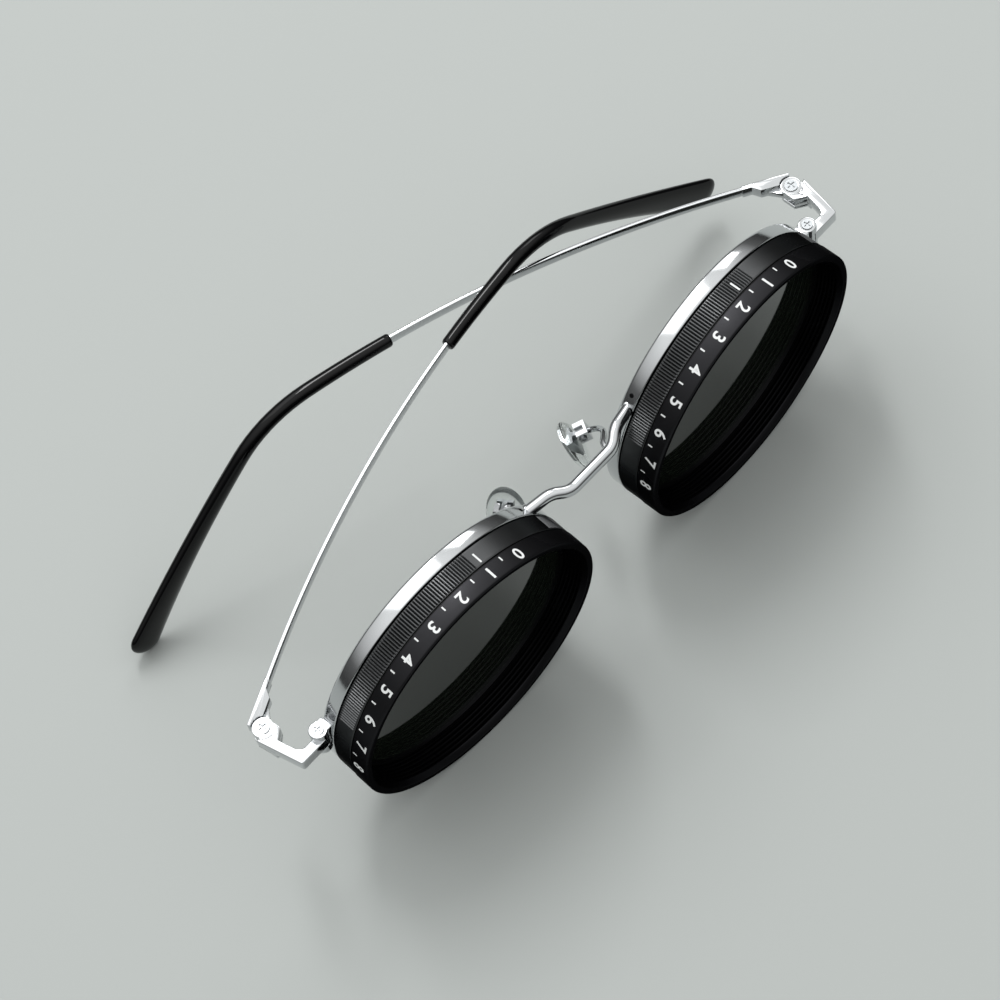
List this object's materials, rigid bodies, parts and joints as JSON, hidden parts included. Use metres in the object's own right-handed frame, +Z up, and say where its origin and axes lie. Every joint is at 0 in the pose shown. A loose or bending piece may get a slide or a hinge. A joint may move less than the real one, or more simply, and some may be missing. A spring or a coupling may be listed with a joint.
{
  "type": "adjustable tint sunglasses",
  "caption": "Sunglasses whose round metal frame carries two stacked polarising filter rings; turning the front rings darkens the view, and the temples fold over the bridge.",
  "frame": {"origin": "middle of the bounding box on the surface that the folded glasses stand on", "axes": "+X to the wearer's left, the lenses face -Y, +Z up from the surface"},
  "size_m": [0.1384, 0.0652, 0.0536],
  "materials": {
    "frame_metal": "polished plated frame metal",
    "screw_steel": "bright screws and pad fittings",
    "spring_steel": "spring steel",
    "ring_black": "satin black anodised",
    "glide_plastic": "matt slip washer",
    "tint_glass": "dark neutral polarising glass",
    "pad_silicone": "clear silicone",
    "tip_acetate": "glossy black acetate"
  },
  "bodies": {
    "front_frame": {"right_rim": "frame_metal", "left_rim": "frame_metal", "bridge": "frame_metal", "right_endpiece": "frame_metal", "left_endpiece": "frame_metal", "right_rim_lock": "frame_metal", "left_rim_lock": "frame_metal", "right_rim_lock_screw": "screw_steel", "left_rim_lock_screw": "screw_steel", "right_rear_ring": "ring_black", "left_rear_ring": "ring_black", "right_rear_polariser": "tint_glass", "left_rear_polariser": "tint_glass", "right_rear_retainer": "ring_black", "left_rear_retainer": "ring_black", "right_glide_ring": "glide_plastic", "left_glide_ring": "glide_plastic", "right_snap_ring": "spring_steel", "left_snap_ring": "spring_steel", "right_pad_arm": "frame_metal", "left_pad_arm": "frame_metal", "right_pad_box": "frame_metal", "left_pad_box": "frame_metal", "right_pad_screw": "screw_steel", "left_pad_screw": "screw_steel", "right_hinge_screw": "screw_steel", "left_hinge_screw": "screw_steel"},
    "right_filter": {"right_front_ring": "ring_black", "right_front_polariser": "tint_glass", "right_front_retainer": "ring_black"},
    "left_filter": {"left_front_ring": "ring_black", "left_front_polariser": "tint_glass", "left_front_retainer": "ring_black"},
    "right_pad": {"right_nose_pad": "pad_silicone", "right_pad_plate": "screw_steel"},
    "left_pad": {"left_nose_pad": "pad_silicone", "left_pad_plate": "screw_steel"},
    "right_temple_arm": {"right_temple": "frame_metal", "right_ear_tip": "tip_acetate"},
    "left_temple_arm": {"left_temple": "frame_metal", "left_ear_tip": "tip_acetate"}
  },
  "joints": [
    {"name": "right_temple_fold", "type": "hinge", "parent": "front_frame", "child": "right_temple_arm", "pos_m": [-0.06615, -0.01165, 0.03197], "axis": [0, -0.0192, 0.9998], "range_deg": [0, 76]},
    {"name": "left_temple_fold", "type": "hinge", "parent": "front_frame", "child": "left_temple_arm", "pos_m": [0.06615, -0.01165, 0.03197], "axis": [0, 0.0192, -0.9998], "range_deg": [0, 56]},
    {"name": "right_filter_turn", "type": "hinge", "parent": "front_frame", "child": "right_filter", "pos_m": [-0.03396, -0.02597, 0.02669], "axis": [-0.0384, -0.9941, -0.101], "continuous": true},
    {"name": "left_filter_turn", "type": "hinge", "parent": "front_frame", "child": "left_filter", "pos_m": [0.03396, -0.02597, 0.02669], "axis": [0.0384, -0.9941, -0.101], "continuous": true},
    {"name": "right_pad_rock", "type": "hinge", "parent": "front_frame", "child": "right_pad", "pos_m": [-0.00993, -0.0118, 0.02538], "axis": [-0.5, 0.8659, 0.0166], "range_deg": [-10, 10]},
    {"name": "left_pad_rock", "type": "hinge", "parent": "front_frame", "child": "left_pad", "pos_m": [0.00993, -0.0118, 0.02538], "axis": [0.5, 0.8659, 0.0166], "range_deg": [-10, 10]}
  ],
  "couplings": [
    {"joint": "left_temple_fold", "follows": "right_temple_fold", "ratio": 0.73}
  ]
}
